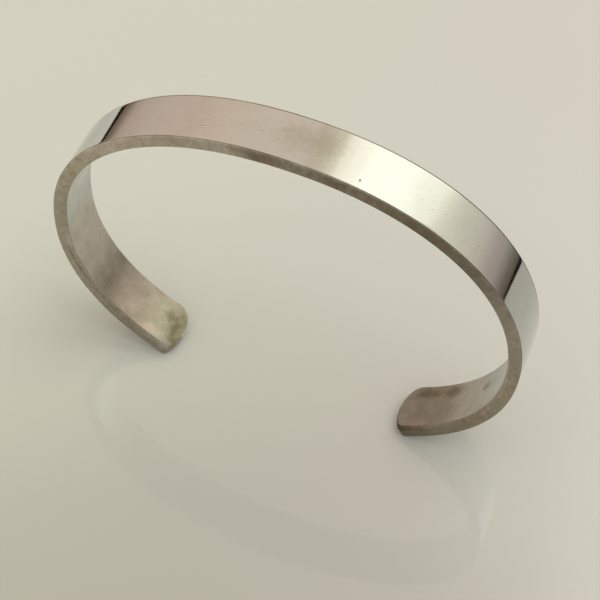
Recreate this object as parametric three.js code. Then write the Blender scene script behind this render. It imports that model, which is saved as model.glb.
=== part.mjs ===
// Open cuff bangle: one flat strip of polished steel with rounded ends, bent to an oval over a mandrel.
// Millimetres, +Z up. The cuff stands on its two tips, its opening downwards, its width along Y.
import * as THREE from "three";

// Driving dimensions
const OUTER_WIDTH = 64; // across the oval, outside to outside
const OUTER_HEIGHT = 51.8; // of the oval before it is cut open
const SQUARENESS = 2.145; // exponent of the oval; 2 is a true ellipse
const BAND_WIDTH = 7.3;
const THICKNESS = 1.78;
const EDGE_ROUND = 0.2; // radius of the broken long edges and tip edges
const NOSE_FLAT = 1; // width of the straight bit in the middle of each tip's end
const WORN_DEPTH = 0.2; // worn off the lowest corner of each tip, so that the cuff stands steadily

// Each arm is measured along the middle of the strip, from the top of the oval to its tip.
// The nose is the tip's end outline: one arc towards each edge, then a corner arc into that edge.
const LEFT_ARM = {
  length: 73.65,
  noseOffset: -0.25, // where the nose is centred across the band
  front: { noseRadius: 6.5, cornerRadius: 0.55 },
  back: { noseRadius: 6.5, cornerRadius: 2.5 },
};
const RIGHT_ARM = {
  length: 71.6,
  noseOffset: -0.6,
  front: { noseRadius: 5.1, cornerRadius: 1.3 },
  back: { noseRadius: 5.8, cornerRadius: 2.1 },
};

// How finely the curves are divided
const BODY_STATIONS = 88; // cross-sections between the two tips
const CORNER_STEPS = 4;
const NOSE_STEPS = 5;
const ROUND_STEPS = 2; // steps in each broken edge
const OVAL_SWEEP = THREE.MathUtils.degToRad(320); // part of the oval that the strip can reach

// The middle of the strip's thickness, from left to right over the top of the oval
class MandrelOval extends THREE.Curve {
  getPoint(t, target = new THREE.Vector3()) {
    const angle = Math.PI / 2 + (0.5 - t) * OVAL_SWEEP;
    const c = Math.cos(angle) / (OUTER_WIDTH / 2);
    const s = Math.sin(angle) / (OUTER_HEIGHT / 2);
    const radius = (Math.abs(c) ** SQUARENESS + Math.abs(s) ** SQUARENESS) ** (-1 / SQUARENESS);
    const normal = new THREE.Vector3(slope(c, OUTER_WIDTH / 2), 0, slope(s, OUTER_HEIGHT / 2));
    target.set(radius * Math.cos(angle), 0, radius * Math.sin(angle));
    return target.addScaledVector(normal.normalize(), -THICKNESS / 2);
  }
}

// One component of the oval's outward direction
function slope(component, halfSize) {
  return (Math.sign(component) * Math.abs(component) ** (SQUARENESS - 1)) / halfSize;
}

const oval = new MandrelOval();
oval.arcLengthDivisions = 2400;
const ovalLength = oval.getLength();

// Bends a point of the flat strip onto the oval: along the strip, across it, and above its middle
function bend(along, across, height) {
  const place = 0.5 + along / ovalLength;
  const point = oval.getPointAt(place);
  const tangent = oval.getTangentAt(place);
  return new THREE.Vector3(point.x - tangent.z * height, across, point.z + tangent.x * height);
}

// Points from the middle of a tip out to one long edge, as [along, across], for a strip made
// smaller all round by inset. side is -1 for the front edge and +1 for the back edge.
function tipOutline(arm, side, inset) {
  const { noseRadius, cornerRadius } = side < 0 ? arm.front : arm.back;
  const noseAlong = arm.length - Math.sqrt(noseRadius ** 2 - (NOSE_FLAT / 2) ** 2);
  const cornerAcross = BAND_WIDTH / 2 - cornerRadius;
  const acrossBetween = cornerAcross - side * arm.noseOffset;
  const reach = noseRadius - cornerRadius;
  const cornerAlong = noseAlong + Math.sqrt(reach ** 2 - acrossBetween ** 2);
  const startAngle = Math.acos((arm.length - inset - noseAlong) / (noseRadius - inset));
  const joinAngle = Math.asin(acrossBetween / reach);
  const points = [];
  for (let i = 0; i < NOSE_STEPS; i += 1) {
    const angle = THREE.MathUtils.lerp(startAngle, joinAngle, i / NOSE_STEPS);
    const radius = noseRadius - inset;
    const across = side * arm.noseOffset + radius * Math.sin(angle);
    points.push([noseAlong + radius * Math.cos(angle), side * across]);
  }
  for (let i = 0; i <= CORNER_STEPS; i += 1) {
    const angle = THREE.MathUtils.lerp(joinAngle, Math.PI / 2, i / CORNER_STEPS);
    const radius = cornerRadius - inset;
    const across = cornerAcross + radius * Math.sin(angle);
    points.push([cornerAlong + radius * Math.cos(angle), side * across]);
  }
  return points;
}

// One long side of the flat strip, from the middle of the left tip to the middle of the right tip
function sideOutline(side, inset) {
  const left = tipOutline(LEFT_ARM, side, inset).map(([along, across]) => [-along, across]);
  const right = tipOutline(RIGHT_ARM, side, inset).reverse();
  const [leftEnd, edge] = left[left.length - 1];
  const [rightEnd] = right[0];
  const body = [];
  for (let i = 1; i < BODY_STATIONS; i += 1) {
    body.push([THREE.MathUtils.lerp(leftEnd, rightEnd, i / BODY_STATIONS), edge]);
  }
  return [...left, ...body, ...right];
}

// The broken edge in cross-section, from the inner face out to the outer face
function edgeLevels() {
  const levels = [];
  for (const face of [-1, 1]) {
    for (let i = 0; i <= ROUND_STEPS; i += 1) {
      const turn = (Math.PI / 2) * (face < 0 ? i / ROUND_STEPS : 1 - i / ROUND_STEPS);
      const inset = EDGE_ROUND * (1 - Math.sin(turn));
      const height = face * (THICKNESS / 2 - EDGE_ROUND * (1 - Math.cos(turn)));
      levels.push({ inset, height });
    }
  }
  return levels;
}

// The bent strip as one closed surface: a ring of points for each level, walls between the rings,
// and the outer and inner faces ruled straight across the band
function cuffGeometry() {
  const levels = edgeLevels();
  const positions = [];
  let rowCount = 0;
  for (const { inset, height } of levels) {
    const front = sideOutline(-1, inset);
    const back = sideOutline(1, inset);
    rowCount = front.length;
    for (const [along, across] of [...front, ...back.reverse()]) {
      positions.push(...bend(along, across, height).toArray());
    }
  }
  const ringSize = 2 * rowCount;
  const indices = [];
  const quad = (a, b, c, d) => indices.push(a, b, c, a, c, d);
  for (let level = 0; level + 1 < levels.length; level += 1) {
    const low = level * ringSize;
    const high = low + ringSize;
    for (let k = 0; k < ringSize; k += 1) {
      const next = (k + 1) % ringSize;
      quad(low + k, low + next, high + next, high + k);
    }
  }
  const outer = (levels.length - 1) * ringSize;
  for (let row = 0; row + 1 < rowCount; row += 1) {
    const back = ringSize - 1 - row;
    quad(outer + row, outer + row + 1, outer + back - 1, outer + back);
    quad(back, back - 1, row + 1, row);
  }
  const geometry = new THREE.BufferGeometry();
  geometry.setAttribute("position", new THREE.Float32BufferAttribute(positions, 3));
  geometry.setIndex(indices);
  return geometry;
}

// The lowest vertex on one side of the cuff, left for -1 and right for +1
function lowestPoint(geometry, side) {
  const position = geometry.getAttribute("position");
  const lowest = new THREE.Vector3(0, 0, Infinity);
  for (let i = 0; i < position.count; i += 1) {
    if (side * position.getX(i) > 0 && position.getZ(i) < lowest.z) {
      lowest.fromBufferAttribute(position, i);
    }
  }
  return lowest;
}

// Turns the cuff until both tips touch the ground, and wears a small level flat on each tip there.
// The middle of its base ends up at the origin.
function standOnTips(geometry) {
  const settlingPasses = 3;
  for (let pass = 0; pass < settlingPasses; pass += 1) {
    const left = lowestPoint(geometry, -1);
    const right = lowestPoint(geometry, 1);
    geometry.rotateY(Math.atan2(right.z - left.z, right.x - left.x));
  }
  geometry.computeBoundingBox();
  const { min, max } = geometry.boundingBox;
  const ground = min.z + WORN_DEPTH;
  const position = geometry.getAttribute("position");
  for (let i = 0; i < position.count; i += 1) {
    position.setZ(i, Math.max(position.getZ(i), ground));
  }
  geometry.translate(-(min.x + max.x) / 2, -(min.y + max.y) / 2, -ground);
}

const geometry = cuffGeometry();
standOnTips(geometry);
geometry.computeVertexNormals();

const polishedSteel = new THREE.MeshStandardMaterial({ color: 0xc9c2b2, roughness: 0.2, metalness: 1 });
const cuffBand = new THREE.Mesh(geometry, polishedSteel);
cuffBand.name = "cuff_band";

const bangle = new THREE.Group();
bangle.add(cuffBand);

export default bangle;
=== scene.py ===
import math

import bpy
import numpy as np
from mathutils import Matrix, Vector


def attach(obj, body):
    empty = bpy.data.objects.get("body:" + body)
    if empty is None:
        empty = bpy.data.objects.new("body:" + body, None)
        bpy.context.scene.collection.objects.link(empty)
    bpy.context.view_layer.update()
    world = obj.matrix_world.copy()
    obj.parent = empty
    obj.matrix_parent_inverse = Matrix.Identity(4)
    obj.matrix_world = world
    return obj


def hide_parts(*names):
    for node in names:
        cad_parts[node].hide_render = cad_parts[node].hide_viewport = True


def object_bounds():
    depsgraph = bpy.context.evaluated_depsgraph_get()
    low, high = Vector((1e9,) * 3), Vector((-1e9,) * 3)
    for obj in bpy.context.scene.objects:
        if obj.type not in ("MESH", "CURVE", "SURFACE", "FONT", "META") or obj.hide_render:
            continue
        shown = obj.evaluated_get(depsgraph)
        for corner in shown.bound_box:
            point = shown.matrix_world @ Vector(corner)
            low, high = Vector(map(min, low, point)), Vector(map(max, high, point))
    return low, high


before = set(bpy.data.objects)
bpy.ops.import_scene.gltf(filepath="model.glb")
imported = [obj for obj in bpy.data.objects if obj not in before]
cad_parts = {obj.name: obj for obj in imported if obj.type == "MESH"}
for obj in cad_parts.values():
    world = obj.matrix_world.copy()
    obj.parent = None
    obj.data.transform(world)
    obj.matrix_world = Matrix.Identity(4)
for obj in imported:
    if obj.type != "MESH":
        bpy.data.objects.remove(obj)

CAD_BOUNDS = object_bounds()
MM = 0.001

# The strip and the oval that it is bent to, with the same sizes as the CAD model
OUTER_WIDTH = 64.0 * MM
OUTER_HEIGHT = 51.8 * MM
SQUARENESS = 2.145
BAND_WIDTH = 7.3 * MM
THICKNESS = 1.78 * MM
NOSE_FLAT = 1.0 * MM
WORN_DEPTH = 0.2 * MM
LEFT_ARM = {
    "length": 73.65 * MM,
    "nose_offset": -0.25 * MM,
    "front": {"nose_radius": 6.5 * MM, "corner_radius": 0.55 * MM},
    "back": {"nose_radius": 6.5 * MM, "corner_radius": 2.5 * MM},
}
RIGHT_ARM = {
    "length": 71.6 * MM,
    "nose_offset": -0.6 * MM,
    "front": {"nose_radius": 5.1 * MM, "corner_radius": 1.3 * MM},
    "back": {"nose_radius": 5.8 * MM, "corner_radius": 2.1 * MM},
}
FRONT = -1
BACK = 1

# The finer edge profile: how far each corner reaches in from the edge and in from the face,
# and the exponent of its curve, where 1 is a flat chamfer and 2 a round
OUTER_CORNER = {"inset": 0.45 * MM, "drop": 0.03 * MM, "exponent": 2.0, "steps": 9}
SATIN_STEPS = 5  # of the outer corner, from the edge; the rest is polished like the face
INNER_CORNER = {"inset": 0.4 * MM, "drop": 0.6 * MM, "exponent": 1.25, "steps": 8}
EDGE_FLAT_STEPS = 4

# The inner corner is hardly broken at the top, more along the back, and on the front of both arms
# it is a real chamfer. Each pair is where that starts and where it is complete.
BROKEN_FRONT = 0.12
BROKEN_BACK = 0.3
CHAMFER_LEFT = (-30 * MM, -44 * MM)
CHAMFER_RIGHT = (38 * MM, 52 * MM)
CHAMFER_ACROSS = (2.0 * MM, -2.6 * MM)

# How finely the surface is divided
BODY_STATIONS = 420
CORNER_STEPS = 12
NOSE_STEPS = 14
FACE_DIVISIONS = 12
EDGE_ROWS = (0.02 * MM, 0.08 * MM, 0.25 * MM)  # extra rows beside each edge of a face
OVAL_SAMPLES = 40000
SETTLING_PASSES = 3
OVAL_SWEEP = math.radians(320)

# Camera, at the distance and height of a person looking down at the table
CAMERA_AZIMUTH = math.radians(20.42)
CAMERA_ELEVATION = math.radians(52.84)
CAMERA_ROLL = math.radians(1.8)
CAMERA_DISTANCE = 197.1 * MM
CAMERA_AIM_RIGHT = 1.27 * MM
CAMERA_AIM_UP = -3.09 * MM
CAMERA_LENS = 91.79
CAMERA_SENSOR = 36.0

# The table top, whose back edge shows as the dark lines in the polished face
TABLE_SIDES = (-0.32, 0.32)
TABLE_FRONT = -0.36
TABLE_BACK = 0.094
FLOOR_SIZE = 3.0
FLOOR_DROP = 0.01 * MM

# The table's tone, painted shade that darkens it in front of the cuff, by how far a place lies behind a
# curved line in front of the cuff, in millimetres
TABLE_SHADE_TONES = [
    (-40, (0.46, 0.457, 0.403)),
    (-15, (0.51, 0.507, 0.47)),
    (5, (0.597, 0.597, 0.55)),
    (25, (0.628, 0.637, 0.603)),
    (50, (0.655, 0.664, 0.634)),
    (80, (0.654, 0.653, 0.62)),
]
LINE_SLOPE = 0.32
LINE_CENTRE = 27.0
LINE_CURVE = 0.0098
TABLE_RAMP = (-60, 100)
# The table's tint, a painted colour of the light on each side, goes from left to right over these
# places, in millimetres
TINT_PLACES = (-40, 40)
LEFT_TINT = (1.003, 1.015, 0.99)
RIGHT_TINT = (1.005, 0.994, 1.02)
TABLE_THIN = (0.985, 0.985, 0.985)
TABLE_THICK = (1.015, 1.015, 1.015)
TABLE_ROUGHNESS = 0.04
TABLE_IOR = 1.6


def oval_point(angle):
    """Middle of the strip's thickness at an angle round the oval."""
    c = np.cos(angle) / (OUTER_WIDTH / 2)
    s = np.sin(angle) / (OUTER_HEIGHT / 2)
    radius = (np.abs(c) ** SQUARENESS + np.abs(s) ** SQUARENESS) ** (-1 / SQUARENESS)
    nx = np.sign(c) * np.abs(c) ** (SQUARENESS - 1) / (OUTER_WIDTH / 2)
    nz = np.sign(s) * np.abs(s) ** (SQUARENESS - 1) / (OUTER_HEIGHT / 2)
    size = np.hypot(nx, nz)
    x = radius * np.cos(angle) - nx / size * THICKNESS / 2
    z = radius * np.sin(angle) - nz / size * THICKNESS / 2
    return x, z


class Oval:
    """The bent strip's middle line by distance along it, measured from its top to the right."""

    def __init__(self):
        angle = math.pi / 2 + (0.5 - np.linspace(0, 1, OVAL_SAMPLES)) * OVAL_SWEEP
        x, z = oval_point(angle)
        step = np.hypot(np.diff(x), np.diff(z))
        distance = np.concatenate([[0], np.cumsum(step)])
        self.angle = angle
        self.along = distance - distance[-1] / 2

    def frame(self, along):
        """Point and unit tangent at each distance along."""
        angle = np.interp(along, self.along, self.angle)
        x, z = oval_point(angle)
        small = 1e-5
        x1, z1 = oval_point(angle - small)
        x0, z0 = oval_point(angle + small)
        size = np.hypot(x1 - x0, z1 - z0)
        return x, z, (x1 - x0) / size, (z1 - z0) / size


OVAL = Oval()


def bend(along, across, height):
    """Points of the flat strip bent onto the oval: distance along, across, and above its middle."""
    x, z, tx, tz = OVAL.frame(along)
    return np.stack([x - tz * height, across + 0 * x, z + tx * height], axis=-1)


def smooth(value, start, end):
    """Goes smoothly from 0 at start to 1 at end."""
    share = np.clip((value - start) / (end - start), 0.0, 1.0)
    return share * share * (3 - 2 * share)


def arc(centre, radius, turn):
    """Points of the flat strip's outline on an arc, and their outward directions."""
    outward = np.stack([np.cos(turn), np.sin(turn)], axis=-1)
    return np.array(centre) + radius * outward, outward


def tip_outline(arm, side):
    """A tip's outline from its middle out to one long edge, and its outward directions."""
    shape = arm["front"] if side == FRONT else arm["back"]
    nose = shape["nose_radius"]
    corner = shape["corner_radius"]
    nose_along = arm["length"] - math.sqrt(nose**2 - (NOSE_FLAT / 2) ** 2)
    nose_across = side * arm["nose_offset"]
    corner_across = BAND_WIDTH / 2 - corner
    between = corner_across - nose_across
    corner_along = nose_along + math.sqrt((nose - corner) ** 2 - between**2)
    start = math.asin(NOSE_FLAT / 2 / nose)
    join = math.asin(between / (nose - corner))
    nose_turns = np.linspace(start, join, NOSE_STEPS, endpoint=False)
    corner_turns = np.linspace(join, math.pi / 2, CORNER_STEPS + 1)
    nose_arc = arc((nose_along, nose_across), nose, nose_turns)
    corner_arc = arc((corner_along, corner_across), corner, corner_turns)
    points = np.concatenate([nose_arc[0], corner_arc[0]]) * (1, side)
    outward = np.concatenate([nose_arc[1], corner_arc[1]]) * (1, side)
    return points, outward


def side_outline(side):
    """One long side of the flat strip, from the middle of the left tip to the right one's."""
    left, left_out = tip_outline(LEFT_ARM, side)
    right, right_out = tip_outline(RIGHT_ARM, side)
    along = np.linspace(-left[-1][0], right[-1][0], BODY_STATIONS + 1)[1:-1]
    body = np.stack([along, np.full_like(along, side * BAND_WIDTH / 2)], axis=-1)
    body_out = np.tile((0.0, float(side)), (len(body), 1))
    points = np.concatenate([left * (-1, 1), body, right[::-1]])
    outward = np.concatenate([left_out * (-1, 1), body_out, right_out[::-1]])
    return points, outward


def chamfer_size(points):
    """How much of the full chamfer the inner corner has, from the point on the outline."""
    along, across = points.T
    arms = smooth(along, *CHAMFER_LEFT) + smooth(along, *CHAMFER_RIGHT)
    front = smooth(across, *CHAMFER_ACROSS)
    broken = BROKEN_BACK + (BROKEN_FRONT - BROKEN_BACK) * front
    return broken + (1 - broken) * arms * front


def corner_shares(corner):
    """A corner's curve from the edge to the face, as shares of its inset and its drop."""
    power = 2 / corner["exponent"]
    turn = np.linspace(0, math.pi / 2, corner["steps"] + 1)
    return list(zip(1 - np.cos(turn) ** power, 1 - np.sin(turn) ** power))


def edge_levels(size):
    """Insets and heights round the edge, from the inner face out to the outer face."""
    inset = INNER_CORNER["inset"] * size
    drop = INNER_CORNER["drop"] * size
    levels = []
    for inward, down in reversed(corner_shares(INNER_CORNER)):
        levels.append((inset * inward, drop * down - THICKNESS / 2))
    low = drop - THICKNESS / 2
    high = THICKNESS / 2 - OUTER_CORNER["drop"]
    for i in range(1, EDGE_FLAT_STEPS):
        levels.append((0 * size, low + (high - low) * i / EDGE_FLAT_STEPS))
    for inward, down in corner_shares(OUTER_CORNER):
        inset = OUTER_CORNER["inset"] * inward
        levels.append((inset + 0 * size, THICKNESS / 2 - OUTER_CORNER["drop"] * down + 0 * size))
    return levels


def face_fractions():
    """Where the rows of a face lie between its two edges, from 0 to 1, closer together near both."""
    width = BAND_WIDTH - 2 * OUTER_CORNER["inset"]
    beside = [row / width for row in EDGE_ROWS]
    inside = np.linspace(0, 1, FACE_DIVISIONS + 1)[1:-1]
    return np.array([0.0, *beside, *inside, *[1 - b for b in reversed(beside)], 1.0])


def lowest(points, side):
    """The lowest point on one side of the cuff."""
    chosen = points[side * points[:, 0] > 0]
    return chosen[np.argmin(chosen[:, 2])]


def stand_on_tips(points):
    """Turns the cuff until both tips touch the ground, with a small level flat from wear on each."""
    for _ in range(SETTLING_PASSES):
        left = lowest(points, -1)
        right = lowest(points, 1)
        turn = math.atan2(right[2] - left[2], right[0] - left[0])
        x = points[:, 0] * math.cos(turn) + points[:, 2] * math.sin(turn)
        z = points[:, 2] * math.cos(turn) - points[:, 0] * math.sin(turn)
        points = np.stack([x, points[:, 1], z], axis=-1)
    ground = points[:, 2].min() + WORN_DEPTH
    points[:, 2] = np.maximum(points[:, 2], ground) - ground
    points[:, 0] -= (points[:, 0].min() + points[:, 0].max()) / 2
    return points


class Surface:
    """Points, faces, texture coordinates and material numbers of one mesh."""

    def __init__(self):
        self.points = []
        self.flat = []
        self.faces = []
        self.corners = []
        self.materials = []

    def row(self, flat, height):
        """Bends a row of points of the flat strip, adds them and returns their indices."""
        start = len(self.points)
        self.points.extend(bend(flat[:, 0], flat[:, 1], height))
        self.flat.extend(flat.tolist())
        return list(range(start, len(self.points)))

    def quad(self, corners, coordinates, material):
        self.faces.append(corners)
        self.corners.extend(coordinates)
        self.materials.append(material)


OUTER_FACE = 0
EDGE = 1
INNER_FACE = 2


def cuff_surface():
    """The bent strip as one closed surface: rings round the edge, and two faces between them."""
    surface = Surface()
    front, front_out = side_outline(FRONT)
    back, back_out = side_outline(BACK)
    outline = np.concatenate([front, back[::-1]])
    outward = np.concatenate([front_out, back_out[::-1]])
    size = chamfer_size(outline)
    rings = []
    for inset, height in edge_levels(size):
        flat = outline - outward * inset[:, None]
        rings.append(surface.row(flat, height))
    add_edge(surface, rings)
    add_face(surface, rings[-1], THICKNESS / 2, OUTER_FACE)
    add_face(surface, rings[0], -THICKNESS / 2, INNER_FACE)
    return surface


def add_edge(surface, rings):
    """Walls between the rings. The outer corner's last steps are polished like the outer face. On
    the rest, the second texture coordinate is the distance round the profile."""
    one = np.ones(1)
    profile = [(inset[0], height[0]) for inset, height in edge_levels(one)]
    around = BAND_WIDTH
    count = len(rings[0])
    polished_from = len(rings) - 1 - OUTER_CORNER["steps"] + SATIN_STEPS
    for level in range(len(rings) - 1):
        below = rings[level]
        above = rings[level + 1]
        step = math.dist(profile[level], profile[level + 1])
        for k in range(count):
            after = (k + 1) % count
            corners = (below[k], below[after], above[after], above[k])
            if level >= polished_from:
                surface.quad(corners, [surface.flat[c] for c in corners], OUTER_FACE)
                continue
            side = FRONT if k < count // 2 else BACK
            u0 = surface.flat[below[k]][0]
            u1 = surface.flat[below[after]][0]
            v0 = side * around
            v1 = side * (around + step)
            surface.quad(corners, ((u0, v0), (u1, v0), (u1, v1), (u0, v1)), EDGE)
        around += step


def add_face(surface, ring, height, material):
    """One face between the front and back halves of a ring."""
    count = len(ring) // 2
    fractions = face_fractions()
    inside = fractions[1:-1, None]
    rows = []
    for i in range(count):
        front = ring[i]
        back = ring[len(ring) - 1 - i]
        start = np.array(surface.flat[front])
        end = np.array(surface.flat[back])
        middle = surface.row(start * (1 - inside) + end * inside, height)
        rows.append([front, *middle, back])
    for here, after in zip(rows, rows[1:]):
        for j in range(len(fractions) - 1):
            corners = (here[j], after[j], after[j + 1], here[j + 1])
            if material == INNER_FACE:
                corners = corners[::-1]
            surface.quad(corners, [surface.flat[c] for c in corners], material)


def polished_cuff(materials):
    """The cuff as a smooth mesh with its three finishes."""
    surface = cuff_surface()
    points = stand_on_tips(np.array(surface.points))
    mesh = bpy.data.meshes.new("polished_cuff")
    mesh.from_pydata(points.tolist(), [], surface.faces)
    for material in materials:
        mesh.materials.append(material)
    mesh.polygons.foreach_set("material_index", surface.materials)
    mesh.polygons.foreach_set("use_smooth", [True] * len(surface.faces))
    strip = mesh.uv_layers.new(name="strip")
    centimetres = np.array(surface.corners) * 100
    strip.data.foreach_set("uv", centimetres.astype(np.float32).ravel())
    mesh.update()
    cuff = bpy.data.objects.new("polished_cuff", mesh)
    bpy.context.collection.objects.link(cuff)
    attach(cuff, "root")
    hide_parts("cuff_band")
    return cuff


class Nodes:
    """Short calls that add nodes to a tree and wire them."""

    def __init__(self, tree):
        self.tree = tree
        tree.nodes.clear()

    def add(self, kind, **settings):
        node = self.tree.nodes.new(kind)
        for name, value in settings.items():
            setattr(node, name, value)
        return node

    def put(self, value, socket):
        """Links a socket's output to an input, or sets a plain value on it."""
        if isinstance(value, bpy.types.NodeSocket):
            self.tree.links.new(value, socket)
        else:
            socket.default_value = value

    def math(self, operation, a, b=0.0):
        node = self.add("ShaderNodeMath", operation=operation)
        self.put(a, node.inputs[0])
        self.put(b, node.inputs[1])
        return node.outputs[0]

    def between(self, value, start, end, low=0.0, high=1.0):
        """Goes smoothly from low to high as value goes from start to end."""
        node = self.add("ShaderNodeMapRange", interpolation_type="SMOOTHSTEP")
        self.put(value, node.inputs["Value"])
        node.inputs["From Min"].default_value = start
        node.inputs["From Max"].default_value = end
        node.inputs["To Min"].default_value = low
        node.inputs["To Max"].default_value = high
        return node.outputs["Result"]

    def ramp(self, value, stops, start=0.0, end=1.0):
        """Colours by position. Stops are (position, (r, g, b)), with positions from start to end."""
        share = self.math("DIVIDE", self.math("SUBTRACT", value, start), end - start)
        node = self.add("ShaderNodeValToRGB")
        self.put(share, node.inputs["Fac"])
        node.color_ramp.interpolation = "LINEAR"
        elements = node.color_ramp.elements
        while len(elements) < len(stops):
            elements.new(1.0)
        for element, (position, colour) in zip(elements, stops):
            element.position = (position - start) / (end - start)
            element.color = (*colour, 1.0)
        return node.outputs["Color"]

    def mix(self, factor, a, b, blend="MIX"):
        node = self.add("ShaderNodeMix", data_type="RGBA", blend_type=blend)
        self.put(factor, node.inputs[0])
        self.put((*a, 1.0) if isinstance(a, tuple) else a, node.inputs[6])
        self.put((*b, 1.0) if isinstance(b, tuple) else b, node.inputs[7])
        return node.outputs[2]

    def noise(self, vector, scale, detail=3.0, roughness=0.5, distortion=0.0):
        node = self.add("ShaderNodeTexNoise")
        self.put(vector, node.inputs["Vector"])
        node.inputs["Scale"].default_value = scale
        node.inputs["Detail"].default_value = detail
        node.inputs["Roughness"].default_value = roughness
        node.inputs["Distortion"].default_value = distortion
        return node.outputs["Fac"]

    def times(self, a, b):
        return self.mix(1.0, a, b, "MULTIPLY")

    def tint(self, share, colour, by):
        """Colour multiplied by a tint where share is 1, and left as it is where share is 0."""
        return self.mix(share, colour, self.times(colour, by))

    def vector_math(self, operation, a, b=None):
        node = self.add("ShaderNodeVectorMath", operation=operation)
        self.put(a, node.inputs[0])
        if b is not None:
            node.inputs[1].default_value = b
        return node.outputs["Value" if operation in ("LENGTH", "DOT_PRODUCT") else "Vector"]

    def apart(self, vector, scale=1.0):
        """The first two coordinates of a vector, times a scale."""
        node = self.add("ShaderNodeSeparateXYZ")
        self.put(vector, node.inputs[0])
        return [self.math("MULTIPLY", node.outputs[i], scale) for i in (0, 1)]

    def spot(self, vector, centre, reach, ragged=0.5):
        """1 inside a ragged oval round a place on the strip, and 0 outside it. In centimetres."""
        moved = self.vector_math("SUBTRACT", vector, (*centre, 0.0))
        away = self.vector_math("LENGTH", self.vector_math("DIVIDE", moved, (*reach, 1.0)))
        uneven = self.math("SUBTRACT", self.noise(vector, 12.0, detail=4), 0.5)
        ragged_away = self.math("ADD", away, self.math("MULTIPLY", uneven, 2 * ragged))
        return self.between(ragged_away, 1.3, 0.1)

    def spots(self, vector, places, ragged=0.5):
        """The union of several spots, given as (centre, reach)."""
        whole = 0.0
        for centre, reach in places:
            whole = self.math("MAXIMUM", whole, self.spot(vector, centre, reach, ragged))
        return whole

    def stretched(self, vector, scale, angle=0.0):
        node = self.add("ShaderNodeMapping")
        self.put(vector, node.inputs["Vector"])
        node.inputs["Rotation"].default_value = (0.0, 0.0, angle)
        node.inputs["Scale"].default_value = scale
        return node.outputs["Vector"]


def new_material(name):
    """A new material's nodes and its shader."""
    material = bpy.data.materials.new(name)
    material.use_nodes = True
    nodes = Nodes(material.node_tree)
    shader = nodes.add("ShaderNodeBsdfPrincipled")
    output = nodes.add("ShaderNodeOutputMaterial")
    nodes.put(shader.outputs["BSDF"], output.inputs["Surface"])
    return material, nodes, shader


def new_metal(name):
    """A new metal's nodes, its shader and its strip coordinates in centimetres."""
    material, nodes, shader = new_material(name)
    shader.inputs["Metallic"].default_value = 1.0
    strip = nodes.add("ShaderNodeUVMap", uv_map="strip").outputs["UV"]
    return material, nodes, shader, strip


# Wear on the outer face, and painted shade on its arms. Places and sizes on the strip are in
# centimetres, along and across.
# Painted shade: past about 2.6 cm either side of the middle the face is made darker, to dim its
# reflection of the table
FACE_SHADE_ALONG = [
    (-2.9, (0.745, 0.74, 0.70)),
    (-2.6, (1.0, 1.0, 1.0)),
    (2.75, (1.02, 1.01, 1.01)),
    (2.95, (0.74, 0.715, 0.675)),
]
SMUDGES = [((0.05, 0.02), (0.36, 0.28)), ((0.32, 0.05), (0.29, 0.26)), ((-0.12, 0.08), (0.16, 0.14))]
SCRATCHED = [((-1.13, -0.1), (0.34, 0.12)), ((-0.62, 0.0), (0.34, 0.1))]
SPECKLED = [((0.3, -0.15), (0.45, 0.18)), ((1.75, 0.0), (0.5, 0.22)), ((2.3, -0.12), (0.4, 0.2))]
PIT = ((0.84, -0.24), (0.017, 0.022))
PIT_COLOUR = (0.10, 0.10, 0.07)
METAL_DARK = (0.63, 0.665, 0.67)
METAL_PALE = (0.75, 0.80, 0.825)
SMUDGE_TINT = (0.80, 0.77, 0.70)
SCRATCH_TINT = (0.80, 0.74, 0.68)
SPECK_TINT = (0.68, 0.66, 0.62)
FACE_ROUGHNESS = (0.045, 0.09)
SMUDGE_ROUGHNESS = 0.05
STRIP_RAMP = (-8, 8)  # the colour ramps along the strip start and end here, in centimetres


def polished_face():
    """The outer face: close to a mirror, with smudges, fine scratches, specks, one pit and painted
    shade on both arms.
    """
    material, nodes, shader, strip = new_metal("polished_face")
    along, _ = nodes.apart(strip)
    cloud = nodes.noise(strip, 3.0, detail=8, roughness=0.7)
    metal = nodes.mix(cloud, METAL_DARK, METAL_PALE)
    # painted shade: the face is made darker on both arms
    arm_shaded = nodes.times(metal, nodes.ramp(along, FACE_SHADE_ALONG, *STRIP_RAMP))
    smudge = nodes.math("MULTIPLY", nodes.spots(strip, SMUDGES, ragged=0.7), 0.7)
    smudged = nodes.tint(smudge, arm_shaded, SMUDGE_TINT)
    hairs = nodes.between(nodes.noise(nodes.stretched(strip, (7, 60, 1), 0.15), 1.0), 0.56, 0.64)
    scratch = nodes.math("MULTIPLY", hairs, nodes.spots(strip, SCRATCHED))
    scratched = nodes.tint(scratch, smudged, SCRATCH_TINT)
    dots = nodes.between(nodes.noise(strip, 28.0, detail=3), 0.62, 0.69)
    speck = nodes.math("MULTIPLY", dots, nodes.spots(strip, SPECKLED))
    specked = nodes.tint(speck, scratched, SPECK_TINT)
    pit = nodes.spot(strip, *PIT, ragged=0.2)
    nodes.put(nodes.mix(pit, specked, PIT_COLOUR), shader.inputs["Base Color"])
    haze = nodes.noise(strip, 1.1, detail=5, roughness=0.65)
    clear = nodes.between(haze, 0.35, 0.8, *FACE_ROUGHNESS)
    dull = nodes.math("MULTIPLY", smudge, SMUDGE_ROUGHNESS)
    nodes.put(nodes.math("ADD", clear, dull), shader.inputs["Roughness"])
    return material
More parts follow.
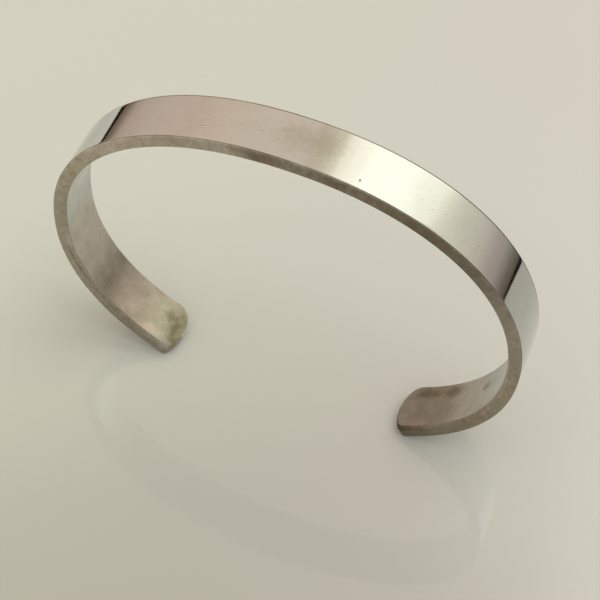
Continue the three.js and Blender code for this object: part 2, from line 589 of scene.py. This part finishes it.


# The edge's tone along the strip, partly painted light and shade, and how the chamfer on its inner
# corner differs, also partly painted light and shade
EDGE_ALONG = [
    (-7.4, (0.40, 0.36, 0.29)),
    (-6.6, (0.365, 0.315, 0.25)),
    (-5.6, (0.43, 0.385, 0.31)),
    (-4.4, (0.45, 0.39, 0.32)),
    (-3.2, (0.51, 0.44, 0.335)),
    (-2.4, (0.61, 0.525, 0.45)),
    (-1.6, (0.525, 0.445, 0.37)),
    (-0.75, (0.54, 0.475, 0.405)),
    (-0.4, (0.375, 0.31, 0.245)),
    (0.4, (0.395, 0.35, 0.28)),
    (1.0, (0.30, 0.25, 0.19)),
    (1.7, (0.23, 0.19, 0.135)),
    (2.5, (0.255, 0.215, 0.165)),
    (3.2, (0.365, 0.31, 0.25)),
    (3.6, (0.415, 0.365, 0.29)),
    (4.2, (0.395, 0.34, 0.27)),
    (5.0, (0.41, 0.355, 0.27)),
    (5.8, (0.33, 0.28, 0.21)),
    (6.5, (0.29, 0.245, 0.185)),
    (7.0, (0.21, 0.18, 0.135)),
]
CHAMFER_ALONG = [
    (-7.2, (0.95, 0.93, 0.93)),
    (-6.6, (0.86, 0.80, 0.80)),
    (-6.0, (0.83, 0.80, 0.78)),
    (-5.5, (0.98, 0.95, 0.93)),
    (-5.0, (1.25, 1.22, 1.23)),
    (-4.2, (0.96, 1.0, 0.96)),
    (4.2, (1.4, 1.45, 1.6)),
    (5.0, (1.15, 1.15, 1.22)),
    (5.8, (1.03, 1.0, 1.0)),
    (6.4, (1.02, 0.97, 0.93)),
    (6.9, (0.7, 0.62, 0.56)),
    (7.2, (0.3, 0.3, 0.25)),
]
CHAMFER_END = (0.81, 0.795)
EDGE_STAINS = [((-0.3, -0.86), (0.4, 0.08)), ((0.5, -0.86), (0.45, 0.07)), ((-5.3, -0.8), (0.4, 0.025))]
OUTER_RIM = (0.912, 0.922)  # where the rounded corner beside the outer face begins
RIM_TONE = (0.70, 0.74, 0.76)
EDGE_DARK = (0.80, 0.77, 0.75)
EDGE_PALE = (1.18, 1.21, 1.23)
EDGE_SPECK_TINT = (0.72, 0.70, 0.68)
EDGE_STAIN_TINT = (0.72, 0.66, 0.63)
EDGE_ROUGHNESS = (0.40, 0.50)
# Painted highlight: the back chamfer is made paler to show the thin bright line along the back inner
# rim
BACK_RIM_HIGHLIGHT = (0.80, 0.78, 0.72)


def satin_edge():
    """The long edges and the tips' ends: satin, darker, mottled and stained, with light and shade
    partly painted into their tone along the strip.
    """
    material, nodes, shader, strip = new_metal("satin_edge")
    along, across = nodes.apart(strip)
    round_edge = nodes.math("ABSOLUTE", across)
    chamfer = nodes.between(round_edge, *CHAMFER_END)
    # painted light and shade: the tone along the strip and the chamfer's tint are partly set to give
    # each place the brightness of its light
    base = nodes.ramp(along, EDGE_ALONG, *STRIP_RAMP)
    whole = nodes.tint(chamfer, base, nodes.ramp(along, CHAMFER_ALONG, *STRIP_RAMP))
    back = nodes.math("MULTIPLY", nodes.math("GREATER_THAN", across, 0.0), chamfer)
    # painted highlight along the back inner rim
    back_rim_lit = nodes.mix(back, whole, BACK_RIM_HIGHLIGHT)
    rim = nodes.between(round_edge, *OUTER_RIM)
    finished = nodes.tint(rim, back_rim_lit, RIM_TONE)
    stain = nodes.between(nodes.noise(strip, 8.0, detail=8, roughness=0.75), 0.3, 0.7)
    mottled = nodes.times(finished, nodes.mix(stain, EDGE_DARK, EDGE_PALE))
    dots = nodes.between(nodes.noise(strip, 34.0, detail=2), 0.58, 0.70)
    speckled = nodes.tint(dots, mottled, EDGE_SPECK_TINT)
    dark = nodes.spots(strip, EDGE_STAINS, ragged=0.8)
    stained = nodes.tint(dark, speckled, EDGE_STAIN_TINT)
    nodes.put(stained, shader.inputs["Base Color"])
    nodes.put(nodes.between(stain, 0.0, 1.0, *EDGE_ROUGHNESS), shader.inputs["Roughness"])
    return material


# The inner face's tone along the strip, partly painted light and shade, its stains, and its painted
# pink highlights
INSIDE_ALONG = [
    (-7.35, (0.19, 0.17, 0.11)),
    (-7.15, (0.29, 0.26, 0.19)),
    (-6.95, (0.39, 0.36, 0.28)),
    (-6.8, (0.43, 0.395, 0.315)),
    (-6.4, (0.47, 0.42, 0.385)),
    (-6.15, (0.44, 0.41, 0.36)),
    (-5.97, (0.34, 0.325, 0.27)),
    (-5.75, (0.455, 0.42, 0.36)),
    (-5.4, (0.55, 0.505, 0.44)),
    (-4.8, (0.54, 0.495, 0.445)),
    (-4.4, (0.54, 0.53, 0.505)),
    (-4.0, (0.63, 0.625, 0.61)),
    (0.0, (0.50, 0.46, 0.40)),
    (4.8, (0.59, 0.61, 0.58)),
    (5.2, (0.57, 0.575, 0.54)),
    (5.6, (0.51, 0.485, 0.45)),
    (6.05, (0.49, 0.465, 0.425)),
    (6.35, (0.34, 0.33, 0.29)),
    (6.8, (0.30, 0.295, 0.265)),
    (7.2, (0.33, 0.335, 0.30)),
]
INSIDE_STAINS = [
    ((-7.1, 0.1), (0.17, 0.13)),
    ((-7.28, -0.22), (0.1, 0.1)),
    ((-7.2, 0.0), (0.1, 0.26)),
    ((6.3, 0.22), (0.22, 0.1)),
    ((6.75, 0.22), (0.25, 0.1)),
    ((5.6, 0.1), (0.1, 0.08)),
]
# Painted highlights: paler pink patches near both tips
INSIDE_PINK_HIGHLIGHTS = [((6.8, -0.27), (0.24, 0.1)), ((-6.3, -0.1), (0.3, 0.25)), ((-6.9, -0.25), (0.2, 0.1))]
INSIDE_DARK = (0.88, 0.88, 0.87)
INSIDE_PALE = (1.12, 1.12, 1.13)
INSIDE_STAIN_TINT = (0.58, 0.58, 0.50)
PINK_HIGHLIGHT_TINT = (1.22, 1.12, 1.15)
INSIDE_SPECK_TINT = (0.82, 0.81, 0.78)
INSIDE_ROUGHNESS = (0.30, 0.38)
WAVER = 0.35  # how far the tones wander along the strip, in centimetres


def satin_inside():
    """The inner face: satin, with mottling and broad stains, its tone along the strip partly painted
    light and shade, and painted pink highlights.
    """
    material, nodes, shader, strip = new_metal("satin_inside")
    along, _ = nodes.apart(strip)
    waver = nodes.math("SUBTRACT", nodes.noise(strip, 2.5, detail=4), 0.5)
    place = nodes.math("ADD", along, nodes.math("MULTIPLY", waver, WAVER))
    # painted light and shade: the tone along the strip is partly set to give each place the brightness
    # of its light
    base = nodes.ramp(place, INSIDE_ALONG, *STRIP_RAMP)
    stain = nodes.between(nodes.noise(strip, 4.0, detail=6, roughness=0.65), 0.3, 0.7)
    mottled = nodes.times(base, nodes.mix(stain, INSIDE_DARK, INSIDE_PALE))
    dark = nodes.spots(strip, INSIDE_STAINS, ragged=0.7)
    stained = nodes.tint(dark, mottled, INSIDE_STAIN_TINT)
    # painted pink highlights
    pink_highlight = nodes.math("MULTIPLY", nodes.spots(strip, INSIDE_PINK_HIGHLIGHTS), 0.8)
    tinted = nodes.tint(pink_highlight, stained, PINK_HIGHLIGHT_TINT)
    dots = nodes.between(nodes.noise(strip, 30.0, detail=2), 0.60, 0.72)
    speckled = nodes.tint(dots, tinted, INSIDE_SPECK_TINT)
    nodes.put(speckled, shader.inputs["Base Color"])
    nodes.put(nodes.between(stain, 0.0, 1.0, *INSIDE_ROUGHNESS), shader.inputs["Roughness"])
    return material


def pale_table():
    """The table top: pale, smooth, slightly glossy, with painted shade that makes it darker in front of
    the cuff and a painted tint of the light from left to right.
    """
    material, nodes, shader = new_material("pale_table")
    place = nodes.add("ShaderNodeTexCoord").outputs["Object"]
    x, y = nodes.apart(place, 1 / MM)
    slant = nodes.math("ADD", y, nodes.math("MULTIPLY", x, LINE_SLOPE))
    off_centre = nodes.math("SUBTRACT", x, LINE_CENTRE)
    curve = nodes.math("MULTIPLY", nodes.math("POWER", off_centre, 2.0), LINE_CURVE)
    # painted shade, darker in front of the cuff
    tone = nodes.ramp(nodes.math("ADD", slant, curve), TABLE_SHADE_TONES, *TABLE_RAMP)
    # painted tint of the light, from left to right
    tint = nodes.mix(nodes.between(x, *TINT_PLACES), LEFT_TINT, RIGHT_TINT)
    grain = nodes.mix(nodes.noise(place, 9.0, detail=3), TABLE_THIN, TABLE_THICK)
    colour = nodes.times(nodes.times(tone, tint), grain)
    nodes.put(colour, shader.inputs["Base Color"])
    shader.inputs["Roughness"].default_value = TABLE_ROUGHNESS
    shader.inputs["IOR"].default_value = TABLE_IOR
    return material


def level_plane(name, sides, ends, height):
    """A level rectangle that faces up."""
    points = [
        (sides[0], ends[0], height),
        (sides[1], ends[0], height),
        (sides[1], ends[1], height),
        (sides[0], ends[1], height),
    ]
    mesh = bpy.data.meshes.new(name)
    mesh.from_pydata(points, [], [(0, 1, 2, 3)])
    piece = bpy.data.objects.new(name, mesh)
    bpy.context.collection.objects.link(piece)
    return piece


def add_floor():
    """The table top, and the floor that goes on past it, which shows in no reflection."""
    table = level_plane("table_top", TABLE_SIDES, (TABLE_FRONT, TABLE_BACK), 0.0)
    whole = (-FLOOR_SIZE, FLOOR_SIZE)
    beyond = level_plane("floor_beyond", whole, whole, -FLOOR_DROP)
    beyond.visible_glossy = False
    material = pale_table()
    for piece in (table, beyond):
        piece.data.materials.append(material)


# Light from each direction, by its height above the horizon in degrees
LEFT_WALL = [
    (-12, (0.20, 0.14, 0.095)),
    (-9.5, (0.22, 0.155, 0.105)),
    (-6.3, (0.375, 0.27, 0.20)),
    (-4, (0.50, 0.365, 0.285)),
    (0, (0.565, 0.425, 0.33)),
    (12, (0.653, 0.498, 0.389)),
    (27, (0.675, 0.51, 0.385)),
    (34, (0.73, 0.56, 0.42)),
    (43, (0.746, 0.60, 0.465)),
    (90, (0.74, 0.62, 0.50)),
]
RIGHT_WALL = [
    (-11.5, (0.11, 0.095, 0.068)),
    (-10, (0.19, 0.165, 0.125)),
    (-6.3, (0.272, 0.225, 0.18)),
    (-3.9, (0.34, 0.284, 0.233)),
    (0, (0.40, 0.33, 0.28)),
    (5, (0.46, 0.378, 0.32)),
    (12, (0.61, 0.53, 0.428)),
    (23.5, (0.735, 0.68, 0.52)),
    (28, (0.84, 0.777, 0.61)),
    (90, (0.9, 0.85, 0.72)),
]
# The bright window, by its direction round from straight behind, in degrees to the right
WINDOW = [
    (-13, (0.655, 0.508, 0.375)),
    (-7, (0.75, 0.63, 0.46)),
    (-3, (0.87, 0.77, 0.57)),
    (0, (1.17, 1.05, 0.82)),
    (4, (1.30, 1.18, 0.94)),
    (12, (1.44, 1.38, 1.12)),
    (27, (1.44, 1.37, 1.13)),
    (34, (1.29, 1.24, 0.99)),
    (39, (1.18, 1.12, 0.89)),
    (42, (0.94, 0.87, 0.68)),
    (46, (0.73, 0.68, 0.52)),
]
FRONT_WALL = (0.78, 0.81, 0.78)
BELOW = (0.012, 0.008, 0.004)

# Where these meet, in degrees round to the right from straight behind, or above the horizon
WALLS_MEET = (-25, 25)
WINDOW_LEFT = (-16, -9)
WINDOW_RIGHT = (47, 43)
WINDOW_SILL = (23, 30)
FRONT_SIDES = (75, 115)
FRONT_TOP = (75, 45)
WALL_RAMP = (-20, 90)
WINDOW_RAMP = (-20, 60)
# The foot of the walls, dark below, is lower on the left than on the right
FOOT_TURN = (-30, 30)
FOOT_HEIGHT = (-11.95, -11.5)
FOOT_BLUR = 0.15

# The lamp is high on the right
LAMP = (2.0, 2.08, 2.0)
LAMP_TURN = math.radians(70)
LAMP_HEIGHT = math.radians(65)
LAMP_CORE = math.radians(14)
LAMP_RADIUS = math.radians(32)


def turn_and_height(nodes, direction):
    """A direction's turn to the right from straight behind, and its height, in degrees."""
    split = nodes.add("ShaderNodeSeparateXYZ")
    nodes.put(direction, split.inputs[0])
    x, y, z = split.outputs
    degrees = 180 / math.pi
    turn = nodes.math("MULTIPLY", nodes.math("ARCTAN2", x, y), degrees)
    height = nodes.math("MULTIPLY", nodes.math("ARCSINE", z), degrees)
    return turn, height


def room_light(nodes, turn, height):
    """The walls all round, with the window behind."""
    left = nodes.ramp(height, LEFT_WALL, *WALL_RAMP)
    right = nodes.ramp(height, RIGHT_WALL, *WALL_RAMP)
    walls = nodes.mix(nodes.between(turn, *WALLS_MEET), left, right)
    across = nodes.math(
        "MULTIPLY", nodes.between(turn, *WINDOW_LEFT), nodes.between(turn, *WINDOW_RIGHT)
    )
    opening = nodes.math("MULTIPLY", across, nodes.between(height, *WINDOW_SILL))
    lit = nodes.mix(opening, walls, nodes.ramp(turn, WINDOW, *WINDOW_RAMP))
    front = nodes.between(nodes.math("ABSOLUTE", turn), *FRONT_SIDES)
    low = nodes.between(height, *FRONT_TOP)
    return nodes.mix(nodes.math("MULTIPLY", front, low), lit, FRONT_WALL)


def lamp_light(nodes, direction):
    """1 in the middle of the lamp and 0 outside it."""
    place = (
        math.sin(LAMP_TURN) * math.cos(LAMP_HEIGHT),
        math.cos(LAMP_TURN) * math.cos(LAMP_HEIGHT),
        math.sin(LAMP_HEIGHT),
    )
    towards = nodes.vector_math("DOT_PRODUCT", direction, place)
    return nodes.between(towards, math.cos(LAMP_RADIUS), math.cos(LAMP_CORE))


def studio_light():
    """Soft light from all round: pale walls, a window behind and a lamp above."""
    world = bpy.data.worlds.new("studio")
    bpy.context.scene.world = world
    world.use_nodes = True
    nodes = Nodes(world.node_tree)
    direction = nodes.add("ShaderNodeTexCoord").outputs["Generated"]
    turn, height = turn_and_height(nodes, direction)
    bright = nodes.mix(lamp_light(nodes, direction), room_light(nodes, turn, height), LAMP)
    foot = nodes.between(turn, *FOOT_TURN, *FOOT_HEIGHT)
    seen = nodes.between(nodes.math("SUBTRACT", height, foot), -FOOT_BLUR, FOOT_BLUR)
    background = nodes.add("ShaderNodeBackground")
    nodes.put(nodes.mix(seen, BELOW, bright), background.inputs["Color"])
    output = nodes.add("ShaderNodeOutputWorld")
    nodes.put(background.outputs[0], output.inputs["Surface"])


def add_camera():
    """The camera looks down at the cuff from its front right."""
    azimuth = CAMERA_AZIMUTH
    elevation = CAMERA_ELEVATION
    back = Vector(
        (
            math.sin(azimuth) * math.cos(elevation),
            -math.cos(azimuth) * math.cos(elevation),
            math.sin(elevation),
        )
    )
    level = Vector((math.cos(azimuth), math.sin(azimuth), 0.0))
    upright = back.cross(level)
    right = level * math.cos(CAMERA_ROLL) + upright * math.sin(CAMERA_ROLL)
    up = upright * math.cos(CAMERA_ROLL) - level * math.sin(CAMERA_ROLL)
    centre = Vector((0.0, 0.0, CAD_BOUNDS[1].z - OUTER_HEIGHT / 2))
    data = bpy.data.cameras.new("camera")
    data.lens = CAMERA_LENS
    data.sensor_width = CAMERA_SENSOR
    camera = bpy.data.objects.new("camera", data)
    place = centre + back * CAMERA_DISTANCE
    place += right * CAMERA_AIM_RIGHT + up * CAMERA_AIM_UP
    turned = Matrix((right, up, back)).transposed().to_4x4()
    camera.matrix_world = Matrix.Translation(place) @ turned
    bpy.context.collection.objects.link(camera)
    bpy.context.scene.camera = camera


polished_cuff([polished_face(), satin_edge(), satin_inside()])
add_floor()
studio_light()
add_camera()
bpy.context.scene.view_settings.view_transform = "Standard"
